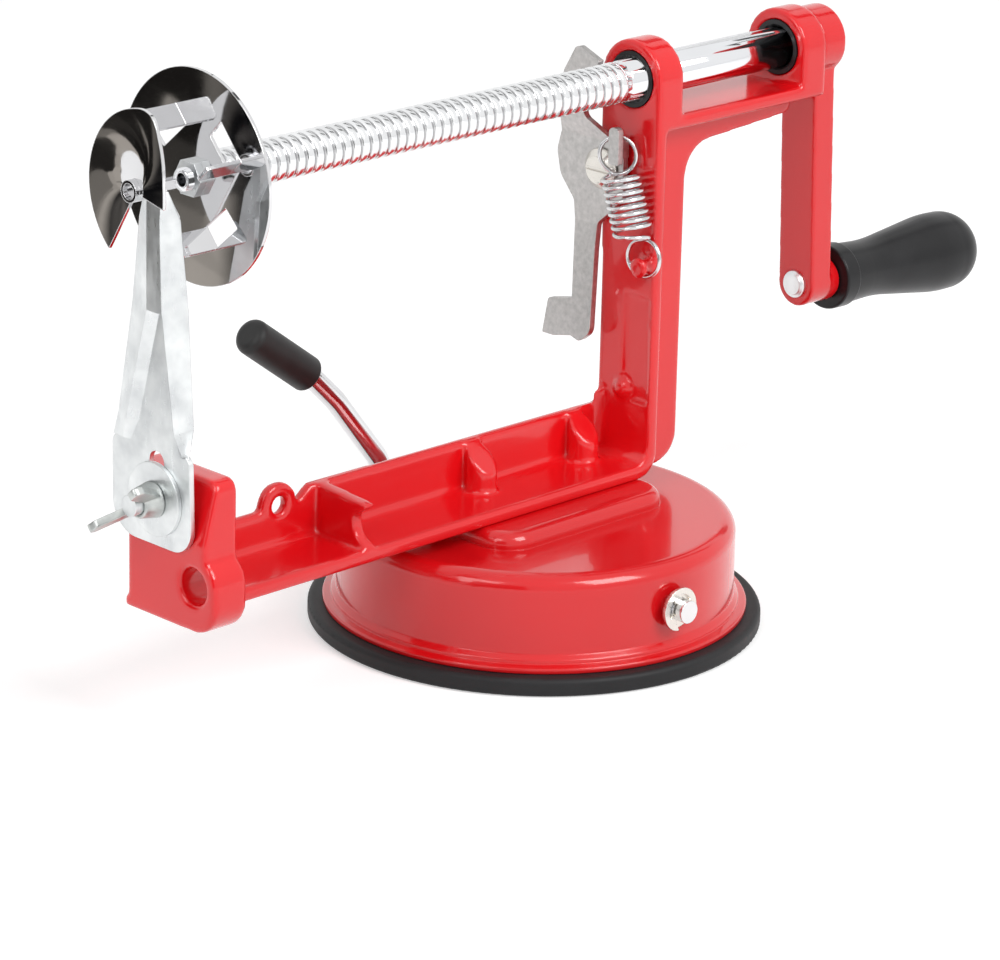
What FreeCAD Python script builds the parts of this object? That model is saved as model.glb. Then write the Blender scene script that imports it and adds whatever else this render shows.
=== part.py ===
"""Hand cranked spiral potato cutter on a suction base.

Millimetres.  +Z is up, +X runs along the feed screw towards the crank, and the
origin is the centre of the rubber pad's bottom face.  A cast frame stands on a
pressed steel suction base.  Its post carries the feed screw in two bushes, and
its front block carries the blade arm.  Each separate piece is one STEP file.
"""
import FreeCAD
import Part
import math
import os

Vec = FreeCAD.Vector
ORIGIN = Vec(0, 0, 0)
AXIS_X = Vec(1, 0, 0)
AXIS_Y = Vec(0, 1, 0)
AXIS_Z = Vec(0, 0, 1)

# ---------------------------------------------------------------- clearances
run_gap = 0.05          # radial gap of a running fit
face_gap = 0.3          # gap between faces that pass each other
slip_gap = 0.05         # gap between flat faces that slide on each other
hang_gap = 0.25         # gap of a wire loop round the piece that holds it
weld_gap = 0.02         # gap of a spot welded lap

# ---------------------------------------------------------------- suction base
pad_r = 65.0
pad_t = 5.0
pad_lip = 1.6           # rounding of the pad's upper rim
housing_r = 57.0
housing_top_z = 31.8
housing_wall = 1.5
housing_round = 4.5
housing_foot_r = 60.8
housing_foot_t = 1.6
housing_bead = 1.4      # rolled bead above the foot
saddle_near_x = -34.0   # raised saddle that carries the beam
saddle_far_x = 33.5
saddle_half_width = 22.5
saddle_corner = 10.0
saddle_round = 3.6      # rounding of the saddle's upper rim

# ---------------------------------------------------------------- cast frame
axis_z = 152.5          # feed screw above the table
beam_z = 36.5           # underside of the beam
band_half = 11.5        # half width of the cast band
floor_t = 4.0
wall_t = 3.5
wall_z = beam_z + 18.5  # top of the side wall next to the post
wall_low_z = beam_z + 14.5     # top of the side wall next to the block
band_t = 4.0
post_x = 33.5           # front face of the post
post_far_y = 9.7        # the post is narrower on its far side below the lever
post_flare_low = axis_z - 52.5
post_flare_top = axis_z - 17.5
foot_round = 7.0
inner_round = 5.0
web_t = 9.0
web_back_x = 53.0
web_round = 9.0
web_corner = 10.0
arm_top_z = axis_z - 10.0
arm_z = axis_z - 22.0   # underside of the arm's web at the post
arm_rise = 3.0          # how much higher it is at the rear lug
lug_t = 10.0
rear_lug_x = 94.3
bush_r = 8.1
panel_depth = 0.6       # shallow recess on the post's front
panel_half = 5.2
panel_y = -5.4
panel_top_z = axis_z - 62.5
panel_low_z = beam_z + 21.5
peg_y = -9.3
peg_z = axis_z - 52.6
peg_neck_r = 2.1
peg_neck_len = 3.6
peg_head_r = 3.1
peg_head_len = 1.8
block_x = -144.5        # front face of the blade block
block_t = 11.5
block_near_y = -22.0
block_far_y = 9.0
block_low_z = beam_z - 0.8
block_top_z = beam_z + 40.5
block_round = 3.0
sweep_depth = 5.0       # the front face falls back at its near upper corner
sweep_height = 17.0
sweep_width = 10.0
lock_hole_r = 5.0
lock_hole_y = -17.3
lock_hole_z = beam_z + 11.8
lock_boss_wall = 3.8
block_lip = 1.2
block_lip_h = 3.0
ear_x = -91.0
ear_z = beam_z + 15.1
ear_r = 6.3
ear_hole_r = 2.5
rib_x = -75.5
rib_t = 4.0
rib_notch = 5.6
screw_boss_r = 4.4
screw_boss_x = (-18.5, 22.5)
screw_boss_y = 3.9
screw_boss_foot = 1.4   # fillet round the boss's foot
screw_boss_cap = 9.5    # height of its sloping top
wall_cove = 4.0         # fillet between the floor and the wall
post_cove = 8.0         # fillet between the wall and the post
cove_rise = 5.0         # how far that fillet climbs above the wall
knob_y = -0.6           # small round knob low on the post's front
knob_z = beam_z + 24.7
knob_r = 3.3
knob_out = 2.2

# ---------------------------------------------------------------- feed screw
screw_r = 6.0
disc_x = -129.0         # front face of the fork disc with the screw fully in
disc_t = 1.0
disc_r = 28.9
thrust_t = 0.8
thrust_r = 8.5
thread_len = 153.5
thread_depth = 0.55
shaft_end_r = 4.5
shaft_flat = 3.4
stub_r = 3.1
stub_len = 4.5          # how far the skewer socket stands in front of the disc
socket_r = 1.85
socket_depth = 30.0
nut_flat = 9.0
nut_t = 2.6

# ---------------------------------------------------------------- fork disc
fin_count = 4
fin_first_deg = 49.0    # middle of the first window
fin_side = 5.7          # each fin's bend beside its window's middle
fin_in_r = 12.3
fin_out_r = 18.7
fin_long = 11.2
fin_short = 10.6
fin_bend_gap = 0.4

# ---------------------------------------------------------------- crank
crank_tilt_deg = 2.0
crank_throw = 73.5
crank_t = 8.6
crank_boss_r = 10.2
crank_boss_extra = 0.9
crank_half = 6.7
crank_end_r = 6.8
grip_boss_r = 6.6
grip_boss_t = 4.2
grip_droop_deg = 1.7
rivet_r = 3.0
rivet_head_r = 4.1
rivet_head_t = 1.6
rivet_len = 52.0        # from the crank's front face
grip_len = 63.5
grip_collar_r = 9.8
grip_collar_t = 5.5
grip_waist_r = 8.8
grip_bulge_r = 11.7

# ---------------------------------------------------------------- nut lever
lever_t = 2.0
lever_bend_deg = 24.0
lever_low = 79.5        # lower end below the screw axis
stud_y = 7.5
stud_z = axis_z - 27.0
stud_r = 2.5
stud_head_r = 6.0
stud_head_t = 2.4
stud_root = 3.2         # depth of the stud in the post
lever_washer_r = 5.4
lever_washer_t = 0.8
jaw_gap = 0.35          # the jaw's gap to the thread crests

# ---------------------------------------------------------------- lever spring
wire_r = 0.6
coil_r = 5.4
coil_turns = 7.5
coil_top = (25.7, -4.2, axis_z - 25.0)
coil_low = (26.9, -8.7, axis_z - 41.4)
loop_r = 5.4
upper_loop_deg = 32.0   # how far the upper loop is turned from square to the screw
lower_loop_deg = 10.0
loop_gap = 0.6          # further gap between a loop and the tongue or peg head
hook_y = -1.4           # middle of the upright tongue
hook_width = 3.8
hook_t = 2.0
hook_reach = 3.0        # gap between the lever and the tongue
hook_low = 3.5          # tongue above the stud, from here
hook_top = 14.4         # to here
hook_seat = 10.3        # height of the spring's seat above the stud
hook_web_y = -0.2
hook_web_t = 1.4

# ---------------------------------------------------------------- blade
plate_t = 1.5
arm_ridge = 3.0         # how far the arm's ridge stands in front of its pad
blade_t = 1.0
blade_r = 23.6
blade_centre = (-3.7, -1.8)     # its round is struck off the screw axis
blade_near_r = 12.2     # the blade is narrower on the near side
blade_near_top = 25.0   # upward half axis of that side's ellipse
blade_lead = 3.0
blade_flat_deg = 28.0   # the blade lies flat on the arm's top over this angle
blade_gap_near_deg = 78.0
blade_gap_far_deg = 34.5
blade_lip_deg = 23.5    # the far lip leans away from the axis by this angle
eyelet_r = 3.0
eyelet_bore_r = 2.1
eyelet_len = 4.6
eyelet_front = 1.2      # how far the eyelet stands in front of the blade
bolt_y = -5.0
bolt_z = beam_z + 33.5
bolt_r = 2.9
bolt_head_r = 6.0
bolt_head_t = 3.2
bolt_front = 11.0       # bolt length in front of the block
slot_travel = 10.0
washer_r = 10.0
washer_t = 1.2
wing_hub_r = 5.0
wing_hub_top_r = 3.9
wing_hub_len = 5.6
wing_span = 27.0
wing_t = 2.2
wing_height = 9.0
wing_turn_deg = 51.0

# ---------------------------------------------------------------- suction lever
rod_r = 3.25
axle_x = -3.0
axle_z = 19.0
axle_front_y = -63.2
lever_y = 64.0
lever_path = ((0.0, 28.5), (-19.5, 52.6), (-28.5, 61.3), (-50.0, 77.0))
lever_grip_r = 5.4
lever_grip_len = 28.5
lever_end_gap = 0.6     # between the rod's end and the bottom of the cap
lever_grip_over = 4.5   # how far the cap stands past the rod's end
clip_t = 0.9
clip_rim = 1.8          # width of the clip's outer band
clip_mouth = 5.2
clip_turn_deg = 20.0
clip_r = 6.2
clip_groove = 0.7
clip_inset = 3.2        # clip's outer face behind the axle's end
washer2_r = 5.6
washer2_t = 0.8
cam_r = 9.0
cam_t = 8.0
cam_throw = 2.1
cam_rest_deg = 47.5
puller_gap = 0.3
puller_bar = 2.2
puller_width = 6.4
puller_plate_r = 18.0
puller_plate_t = 2.0
fixing_r = 2.2
fixing_head_r = 4.4
fixing_head_t = 2.0
fixing_grip = 10.5      # thread length in the casting

# ---------------------------------------------------------------- derived
frame_end_x = rear_lug_x + lug_t
crank_x = frame_end_x + face_gap
crank_back_x = crank_x + crank_t
block_back_x = block_x + block_t
floor_z = beam_z + floor_t
wall_in_y = band_half - wall_t
disc_back_x = disc_x + disc_t
shoulder_x = disc_back_x + thrust_t
lever_x = post_x - lever_washer_t - slip_gap - lever_t
blade_x = block_x - slip_gap - plate_t
washer_x = blade_x - slip_gap - washer_t


# ---------------------------------------------------------------- helpers
def on_xz(u, v):
    return Vec(u, 0, v)


def on_yz(u, v):
    return Vec(0, u, v)


def on_xy(u, v):
    return Vec(u, v, 0)


def corner_edges(points, radii, closed):
    """Straight edges through the points, with a tangent arc at each rounded one."""
    count = len(points)
    starts = []
    ends = []
    arcs = []
    for i, point in enumerate(points):
        radius = radii[i]
        at_end = not closed and i in (0, count - 1)
        if radius <= 0 or at_end:
            starts.append(point)
            ends.append(point)
            arcs.append(None)
            continue
        back = points[i - 1] - point
        ahead = points[(i + 1) % count] - point
        turn = back.getAngle(ahead)
        reach = radius / math.tan(turn / 2)
        reach = min(reach, 0.49 * back.Length, 0.49 * ahead.Length)
        back.normalize()
        ahead.normalize()
        first = point + back * reach
        last = point + ahead * reach
        middle_dir = (back + ahead).normalize()
        real = reach * math.tan(turn / 2)
        centre = point + middle_dir * (real / math.sin(turn / 2))
        middle = centre - middle_dir * real
        starts.append(first)
        ends.append(last)
        arcs.append(Part.Arc(first, middle, last).toShape())
    edges = []
    for i in range(count):
        if arcs[i] is not None:
            edges.append(arcs[i])
        if i == count - 1 and not closed:
            break
        target = starts[(i + 1) % count]
        if (target - ends[i]).Length > 1e-6:
            edges.append(Part.LineSegment(ends[i], target).toShape())
    return edges


def outline(corners, plane):
    """Closed wire through (u, v) or (u, v, radius) corners on a plane."""
    points = [plane(c[0], c[1]) for c in corners]
    radii = [c[2] if len(c) > 2 else 0.0 for c in corners]
    return Part.Wire(corner_edges(points, radii, True))


def plate(corners, plane, start, end):
    """Solid of the closed outline, from start to end along the plane's normal."""
    normal = {on_xz: AXIS_Y, on_yz: AXIS_X, on_xy: AXIS_Z}[plane]
    face = Part.Face(outline(corners, plane))
    face.translate(normal * start)
    return face.extrude(normal * (end - start))


def box(x0, x1, y0, y1, z0, z1):
    return Part.makeBox(x1 - x0, y1 - y0, z1 - z0, Vec(x0, y0, z0))


def cyl_x(radius, x0, x1, y, z):
    return Part.makeCylinder(radius, x1 - x0, Vec(x0, y, z), AXIS_X)


def cyl_y(radius, y0, y1, x, z):
    return Part.makeCylinder(radius, y1 - y0, Vec(x, y0, z), AXIS_Y)


def cyl_z(radius, z0, z1, x, y):
    return Part.makeCylinder(radius, z1 - z0, Vec(x, y, z0), AXIS_Z)


def turned_x(corners, y, z):
    """Solid of revolution about an X axis from (x, radius) corners."""
    wire = outline(corners, on_xz)
    solid = Part.Face(wire).revolve(ORIGIN, AXIS_X, 360)
    solid.translate(Vec(0, y, z))
    return solid


def turned_z(corners):
    """Solid of revolution about Z from (radius, z) corners."""
    return Part.Face(outline(corners, on_xz)).revolve(ORIGIN, AXIS_Z, 360)


def join(*solids):
    """One solid from overlapping ones, added in turn."""
    body = solids[0]
    for solid in solids[1:]:
        body = body.fuse(solid).removeSplitter()
    return body


def swept_rod(points, radii, radius):
    """Round rod along a path of straight runs and tangent arcs."""
    path = Part.Wire(corner_edges(points, radii, False))
    run = points[1] - points[0]
    ring = Part.Wire(Part.Circle(points[0], run, radius).toShape())
    return path.makePipeShell([ring], True, True)


def turn_about(shape, centre, axis, degrees):
    turned = shape.copy()
    turned.rotate(centre, axis, degrees)
    return turned


# ---------------------------------------------------------------- cast frame
def cast_band():
    """Floor of the beam, front flange of the post, top flange of the arm."""
    bend = plate(((block_back_x - 1, beam_z), (post_x + band_t, beam_z, foot_round),
                  (post_x + band_t, arm_top_z), (post_x, arm_top_z),
                  (post_x, floor_z, inner_round), (block_back_x - 1, floor_z)),
                 on_xz, -band_half, band_half)
    taper = plate(((post_far_y, wall_z), (band_half + 1, wall_z), (band_half + 1, post_flare_top),
                   (band_half, post_flare_top), (post_far_y, post_flare_low)),
                  on_yz, post_x - 1, post_x + band_t + 1)
    bend = bend.cut(taper)
    arm = box(post_x, frame_end_x, -band_half, band_half, arm_top_z - band_t, arm_top_z)
    return join(bend, arm)


def cast_web():
    """Rib behind the post and under the arm, with a wide inner corner."""
    web = plate(((post_x + 1, beam_z, foot_round), (web_back_x, beam_z, web_round),
                 (web_back_x, arm_z, web_corner), (rear_lug_x + 3, arm_z + arm_rise, 3),
                 (rear_lug_x + 3, arm_top_z - 1), (post_x + 1, arm_top_z - 1)),
                on_xz, -web_t / 2, web_t / 2)
    return web


def cast_lugs():
    """Two bearing lugs on top of the arm, rounded over the bushes."""
    lugs = []
    for start in (post_x, rear_lug_x):
        cheek = box(start, start + lug_t, -band_half, band_half, arm_top_z - band_t, axis_z)
        crown = cyl_x(band_half, start, start + lug_t, 0, axis_z)
        lugs.append(cheek.fuse(crown))
    return join(*lugs)


def screw_boss(x):
    """Round boss on the floor whose sloping top runs out at the wall's edge."""
    low_z = floor_z - 1
    near_y = screw_boss_y - screw_boss_r
    post = cyl_z(screw_boss_r, low_z, wall_z, x, screw_boss_y)
    side = plate(((wall_in_y + 1, low_z), (near_y - 1, low_z), (near_y - 1, wall_z - screw_boss_cap, 4.0),
                  (wall_in_y, wall_z - 0.4, 1.0), (wall_in_y + 1, wall_z - 0.4)),
                 on_yz, x - screw_boss_r - 1, x + screw_boss_r + 1)
    foot_r = screw_boss_r + screw_boss_foot
    foot = turned_z(((0, low_z), (foot_r, low_z), (foot_r, floor_z), (screw_boss_r, floor_z, screw_boss_foot),
                     (screw_boss_r, floor_z + screw_boss_foot + 0.01), (0, floor_z + screw_boss_foot + 0.01)))
    foot.translate(Vec(x, screw_boss_y, 0))
    return join(post.common(side), foot)


def cast_coves():
    """Fillets in the wall's corners with the floor and with the post."""
    edge = wall_in_y - wall_cove - 0.01
    long = plate(((wall_in_y + 0.5, floor_z - 0.5), (edge, floor_z - 0.5), (edge, floor_z),
                  (wall_in_y, floor_z, wall_cove), (wall_in_y, floor_z + wall_cove + 0.01),
                  (wall_in_y + 0.5, floor_z + wall_cove + 0.01)), on_yz, block_back_x - 1, post_x + 1)
    start = post_x - post_cove - 0.01
    side = wall_in_y - post_cove - 0.01
    upright = plate(((post_x + 0.5, wall_in_y + 0.5), (start, wall_in_y + 0.5), (start, wall_in_y),
                     (post_x, wall_in_y, post_cove), (post_x, side), (post_x + 0.5, side)),
                    on_xy, floor_z - 0.5, wall_z + cove_rise)
    slope = plate(((start - 1, floor_z - 1), (post_x + 1, floor_z - 1), (post_x + 1, wall_z + cove_rise),
                   (post_x - 0.5, wall_z + cove_rise), (start - 1, wall_z - 1.0)),
                  on_xz, side - 1, wall_in_y + 1)
    return [long, upright.common(slope)]


def cast_wall():
    """Side wall of the beam with its ear, its fillets and the two fixing bosses."""
    step_x = rib_x - rib_t
    wall = plate(((block_back_x - 1, beam_z), (post_x + 3, beam_z + 3), (post_x + 3, wall_z - 0.5, 1.0),
                  (step_x, wall_z, 1.5), (step_x - 5, wall_low_z, 2), (block_back_x - 1, wall_low_z)),
                 on_xz, wall_in_y, band_half)
    ear = cyl_y(ear_r, wall_in_y, band_half, ear_x, ear_z)
    solids = [wall, ear] + cast_coves()
    for x in screw_boss_x:
        solids.append(screw_boss(x))
    return join(*solids)


def cast_rib():
    """Cross rib with a hooked notch in its free edge."""
    tip_z = wall_z - 1.5
    return plate(((wall_in_y + 1, beam_z + 1), (-band_half, beam_z + 1), (-band_half, floor_z + 0.6, 0.5),
                  (rib_notch - band_half - 1, floor_z + 3.5, 3), (rib_notch - band_half, tip_z - 4, 2),
                  (1.2 - band_half, tip_z - 1.6, 0.8), (-band_half, tip_z, 0.5),
                  (wall_in_y + 1, wall_z)),
                 on_yz, rib_x - rib_t / 2, rib_x + rib_t / 2)


def blade_block():
    """Upright block that carries the blade arm, with its lock hole boss."""
    slab = plate(((block_far_y, block_low_z), (block_far_y, block_top_z, block_round),
                  (block_near_y, block_top_z, block_round),
                  (block_near_y, block_low_z, lock_hole_r + lock_boss_wall),),
                 on_yz, block_x, block_back_x)
    boss_r = lock_hole_r + lock_boss_wall
    boss = join(cyl_x(boss_r, block_x, block_back_x, lock_hole_y, lock_hole_z),
                cyl_x(boss_r, block_x, block_back_x, lock_hole_y, block_low_z + boss_r),
                box(block_x, block_back_x, lock_hole_y - boss_r, lock_hole_y + boss_r,
                    block_low_z + boss_r, lock_hole_z))
    lip = box(block_x, block_x + 4, block_far_y - 1, block_far_y + block_lip,
              block_low_z, block_low_z + block_lip_h)
    sweep = Part.makePolygon([Vec(block_x - 1, 0, block_top_z + 1),
                              Vec(block_x + sweep_depth, 0, block_top_z + 1),
                              Vec(block_x, 0, block_top_z - sweep_height),
                              Vec(block_x - 1, 0, block_top_z - sweep_height),
                              Vec(block_x - 1, 0, block_top_z + 1)])
    cut = Part.Face(sweep).extrude(AXIS_Y * (sweep_width + 2))
    cut.translate(Vec(0, block_near_y - 1.5, 0))
    return join(slab.cut(cut), boss, lip)


def spring_peg():
    """Cast peg on the post's front, with a neck for the spring's lower loop."""
    neck_x = post_x - peg_neck_len
    neck = cyl_x(peg_neck_r, neck_x, post_x + 1, peg_y, peg_z)
    head = cyl_x(peg_head_r, neck_x - peg_head_len, neck_x, peg_y, peg_z)
    return join(neck, head)


def frame_casting():
    casting = join(cast_band(), cast_web(), cast_lugs(), cast_wall(), cast_rib(), blade_block(), spring_peg())
    holes = [cyl_x(bush_r, post_x - 1, post_x + lug_t + 1, 0, axis_z),
             cyl_x(bush_r, rear_lug_x - 1, frame_end_x + 1, 0, axis_z),
             cyl_x(lock_hole_r, block_x - 1, block_back_x + 1, lock_hole_y, lock_hole_z),
             cyl_x(bolt_r + run_gap, block_x - 1, block_back_x + 1, bolt_y, bolt_z),
             cyl_y(ear_hole_r, wall_in_y - 1, band_half + 1, ear_x, ear_z),
             cyl_x(stud_r, post_x - 1, post_x + stud_root, stud_y, stud_z),
             plate(((panel_y - panel_half, panel_low_z, 1), (panel_y + panel_half, panel_low_z, 1),
                    (panel_y + panel_half, panel_top_z, 1), (panel_y - panel_half, panel_top_z, 1)),
                   on_yz, post_x - 1, post_x + panel_depth)]
    for x in screw_boss_x:
        holes.append(cyl_z(fixing_r, beam_z - 1, beam_z + fixing_grip, x, screw_boss_y))
    ball_r = (knob_r ** 2 + knob_out ** 2) / (2 * knob_out)
    ball = Part.makeSphere(ball_r, Vec(post_x - knob_out + ball_r, knob_y, knob_z))
    knob = ball.common(box(post_x - knob_out - 1, post_x + 1, knob_y - 5, knob_y + 5, knob_z - 5, knob_z + 5))
    return casting.cut(holes).fuse(knob).removeSplitter()


def bush(start):
    """Plastic bush that fills its lug, with a countersunk mouth."""
    bore = screw_r + run_gap
    return turned_x(((start, bore + 0.8), (start + 0.8, bore), (start + lug_t - 0.8, bore),
                     (start + lug_t, bore + 0.8), (start + lug_t, bush_r), (start, bush_r)), 0, axis_z)


# ---------------------------------------------------------------- suction base
def rubber_pad():
    return turned_z(((0, 0), (pad_r, 0, 1.0), (pad_r, pad_t, pad_lip), (0, pad_t)))


def saddle(inset, low_z, top_z):
    """Raised block of the housing with rounded corners and a soft upper rim."""
    near_x = saddle_near_x + inset
    far_x = saddle_far_x - inset
    half = saddle_half_width - inset
    corner = saddle_corner - inset
    block = plate(((near_x, -half, corner), (far_x, -half, corner), (far_x, half, corner),
                   (near_x, half, corner)), on_xy, low_z, top_z)
    rim = [edge for edge in block.Edges if edge.BoundBox.ZMin > top_z - 0.01]
    return block.makeFillet(saddle_round - inset, rim)


def base_housing():
    """Pressed steel cover: rolled foot, upright wall, rounded shoulder, saddle."""
    inner = housing_r - housing_wall
    roof_z = housing_top_z - housing_wall
    shell = turned_z(((0, roof_z), (inner, roof_z, housing_round - housing_wall), (inner, pad_t),
                      (housing_foot_r, pad_t, 0.4), (housing_foot_r, pad_t + housing_foot_t, 0.6),
                      (housing_r + housing_bead, pad_t + housing_foot_t + 0.4, 0.3),
                      (housing_r + housing_bead, pad_t + housing_foot_t + housing_bead, 0.7),
                      (housing_r, pad_t + housing_foot_t + 2 * housing_bead, 0.5),
                      (housing_r, housing_top_z, housing_round), (0, housing_top_z)))
    raised = saddle(0, roof_z, beam_z)
    hollow = saddle(housing_wall, roof_z - 0.5, beam_z - housing_wall)
    cover = join(shell, raised).cut(hollow)
    holes = [cyl_y(rod_r + run_gap, -housing_r - 5, housing_r + 5, axle_x, axle_z)]
    for x in screw_boss_x:
        holes.append(cyl_z(fixing_r, roof_z, beam_z + 1, x, screw_boss_y))
    return cover.cut(holes)


def fixing_screws():
    """Two pan head screws that hold the beam on the saddle."""
    seat_z = beam_z - housing_wall
    screws = []
    for x in screw_boss_x:
        shank = cyl_z(fixing_r, seat_z, beam_z + fixing_grip, x, screw_boss_y)
        head = cyl_z(fixing_head_r, seat_z - fixing_head_t, seat_z, x, screw_boss_y)
        slot = box(x - fixing_head_r, x + fixing_head_r, screw_boss_y - 0.5, screw_boss_y + 0.5,
                   seat_z - fixing_head_t, seat_z - fixing_head_t + 1)
        screws.append(shank.fuse(head).cut(slot).removeSplitter())
    return Part.makeCompound(screws)


def suction_rod():
    """Axle through the housing, bent up outside it into the lever."""
    points = [Vec(axle_x, axle_front_y, axle_z), Vec(axle_x, lever_y, axle_z)]
    points += [Vec(x, lever_y, z) for x, z in lever_path]
    radii = [0, 7.0, 22.0, 30.0, 0, 0]
    radii = radii[:4] + [0] * (len(points) - 4)
    rod = swept_rod(points, radii, rod_r)
    groove_y = axle_front_y + clip_inset
    ring = cyl_y(rod_r + 1, groove_y, groove_y + clip_t, axle_x, axle_z)
    core = cyl_y(rod_r - clip_groove, groove_y, groove_y + clip_t, axle_x, axle_z)
    return rod.cut(ring.cut(core))


def lever_end():
    """Last two points of the lever's path."""
    return [Vec(x, lever_y, z) for x, z in lever_path[-2:]]


def suction_grip():
    """Rubber cap with a domed end on the lever."""
    start, end = lever_end()
    line = (end - start).normalize()
    mouth = lever_grip_over - lever_grip_len
    dome = 0.55 * lever_grip_r
    body = turned_x(((mouth, rod_r), (lever_end_gap, rod_r), (lever_end_gap, 0), (lever_grip_over, 0),
                     (lever_grip_over, lever_grip_r, dome), (mouth, lever_grip_r, 0.6)), 0, 0)
    body.Placement = FreeCAD.Placement(end, FreeCAD.Rotation(AXIS_X, line))
    return body


def suction_cam():
    """Round eccentric fixed on the axle inside the housing."""
    turn = math.radians(cam_rest_deg)
    centre_x = axle_x - cam_throw * math.cos(turn)
    centre_z = axle_z - cam_throw * math.sin(turn)
    cam = cyl_y(cam_r, -cam_t / 2, cam_t / 2, centre_x, centre_z)
    return cam.cut(cyl_y(rod_r, -cam_t, cam_t, axle_x, axle_z))


def pad_puller():
    """Frame round the eccentric, on a plate that lifts the pad's centre."""
    turn = math.radians(cam_rest_deg)
    top_z = axle_z - cam_throw * math.sin(turn) + cam_r + puller_gap
    low_z = pad_t + face_gap
    reach = cam_r + cam_throw + puller_gap
    outer = box(axle_x - reach - puller_bar, axle_x + reach + puller_bar, -puller_width / 2,
                puller_width / 2, low_z + puller_plate_t, top_z + puller_bar)
    window = box(axle_x - reach, axle_x + reach, -puller_width, puller_width,
                 low_z + puller_plate_t - 1, top_z)
    return join(outer.cut(window), cyl_z(puller_plate_r, low_z, low_z + puller_plate_t, 0, 0))


def axle_clip():
    """E shaped clip in the axle's groove, its mouth turned a little to one side."""
    groove_y = axle_front_y + clip_inset
    end_y = groove_y + clip_t
    centre = Vec(axle_x, groove_y, axle_z)
    band = cyl_y(clip_r, groove_y, end_y, axle_x, axle_z)
    band = band.cut(cyl_y(clip_r - clip_rim, groove_y, end_y, axle_x, axle_z))
    prong = box(axle_x - 1.4, axle_x + 1.4, groove_y, end_y, axle_z + 1, axle_z + clip_r - clip_rim + 0.3)
    prongs = [turn_about(prong, centre, AXIS_Y, angle) for angle in (0, 120, -120)]
    bore = cyl_y(rod_r - clip_groove, groove_y, end_y, axle_x, axle_z)
    mouth = box(axle_x - clip_mouth / 2, axle_x + clip_mouth / 2, groove_y, end_y, axle_z - clip_r - 1, axle_z)
    clip = join(band, *prongs).cut([bore, mouth])
    return turn_about(clip, centre, AXIS_Y, -clip_turn_deg)


def axle_washer():
    start = axle_front_y + clip_inset + clip_t
    ring = cyl_y(washer2_r, start, start + washer2_t, axle_x, axle_z)
    return ring.cut(cyl_y(rod_r + run_gap, start, start + washer2_t, axle_x, axle_z))


# ---------------------------------------------------------------- feed screw
def lead_screw():
    """Threaded bar, plain towards the crank, with the skewer socket in front."""
    thread_end = shoulder_x + thread_len
    crest = screw_r
    waist = screw_r - thread_depth
    bar = turned_x(((shoulder_x, 0), (shoulder_x, crest - 0.8), (shoulder_x + 0.8, crest),
                    (thread_end, crest), (thread_end + 0.5, waist), (thread_end + 2.2, waist),
                    (thread_end + 2.7, crest), (crank_x, crest), (crank_x, shaft_end_r),
                    (crank_back_x + crank_boss_extra - 0.5, shaft_end_r),
                    (crank_back_x + crank_boss_extra, shaft_end_r - 0.5),
                    (crank_back_x + crank_boss_extra, 0)), 0, axis_z)
    stub = cyl_x(stub_r, disc_x - stub_len, shoulder_x + 1, 0, axis_z)
    socket = cyl_x(socket_r, disc_x - stub_len, disc_x - stub_len + socket_depth, 0, axis_z)
    flat = box(crank_x, crank_back_x + 5, -screw_r, screw_r, axis_z + shaft_flat, axis_z + screw_r)
    return join(bar, stub).cut([socket, flat])


def thrust_washer():
    ring = cyl_x(thrust_r, disc_back_x, shoulder_x, 0, axis_z)
    return ring.cut(cyl_x(stub_r + run_gap, disc_back_x, shoulder_x, 0, axis_z))


def fork_fin():
    """One fin, bent forward from the disc beside a window on +Z."""
    fin = plate(((disc_back_x, fin_in_r), (disc_x - fin_short, fin_in_r, 1.0),
                 (disc_x - fin_long, fin_out_r, 1.0), (disc_back_x, fin_out_r)),
                on_xz, -disc_t / 2, disc_t / 2)
    fin.translate(Vec(0, -fin_side, axis_z))
    return fin


def fin_window():
    """Opening that the fin leaves in the disc beside its bend."""
    side = disc_t / 2 - fin_side
    return plate(((side + fin_bend_gap - disc_t, fin_in_r), (side + fin_short, fin_in_r, 0.4),
                  (side + fin_long, fin_out_r, 0.4), (side + fin_bend_gap - disc_t, fin_out_r)),
                 on_yz, disc_x - 1, disc_back_x + 1)


def fork_disc():
    """Thin disc that drives the potato with four bent fins."""
    disc = cyl_x(disc_r, disc_x, disc_back_x, 0, axis_z)
    centre = Vec(0, 0, axis_z)
    fins = []
    for i in range(fin_count):
        angle = fin_first_deg + 360.0 / fin_count * i
        window = fin_window()
        window.translate(centre)
        disc = disc.cut(turn_about(window, centre, AXIS_X, angle))
        fins.append(turn_about(fork_fin(), centre, AXIS_X, angle))
    disc = join(disc, *fins)
    return disc.cut(cyl_x(stub_r, disc_x - 1, disc_back_x + 1, 0, axis_z))


def disc_nut():
    """Thin hexagon nut that holds the disc on the socket's thread."""
    reach = nut_flat / 2 / math.cos(math.pi / 6)
    corners = [(reach * math.cos(math.radians(a)), reach * math.sin(math.radians(a))) for a in range(0, 360, 60)]
    body = plate(corners, on_yz, disc_x - nut_t, disc_x)
    body.translate(Vec(0, 0, axis_z))
    return body.cut(cyl_x(stub_r, disc_x - nut_t, disc_x, 0, axis_z))


# ---------------------------------------------------------------- crank
def place_crank(shape):
    """Turn a piece of the crank to where it hangs at rest."""
    return turn_about(shape, Vec(0, 0, axis_z), AXIS_X, -crank_tilt_deg)


def place_grip(shape):
    """Tilt a piece of the grip about the crank's free end."""
    return turn_about(shape, Vec(crank_x, 0, axis_z - crank_throw), AXIS_Y, grip_droop_deg)


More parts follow.
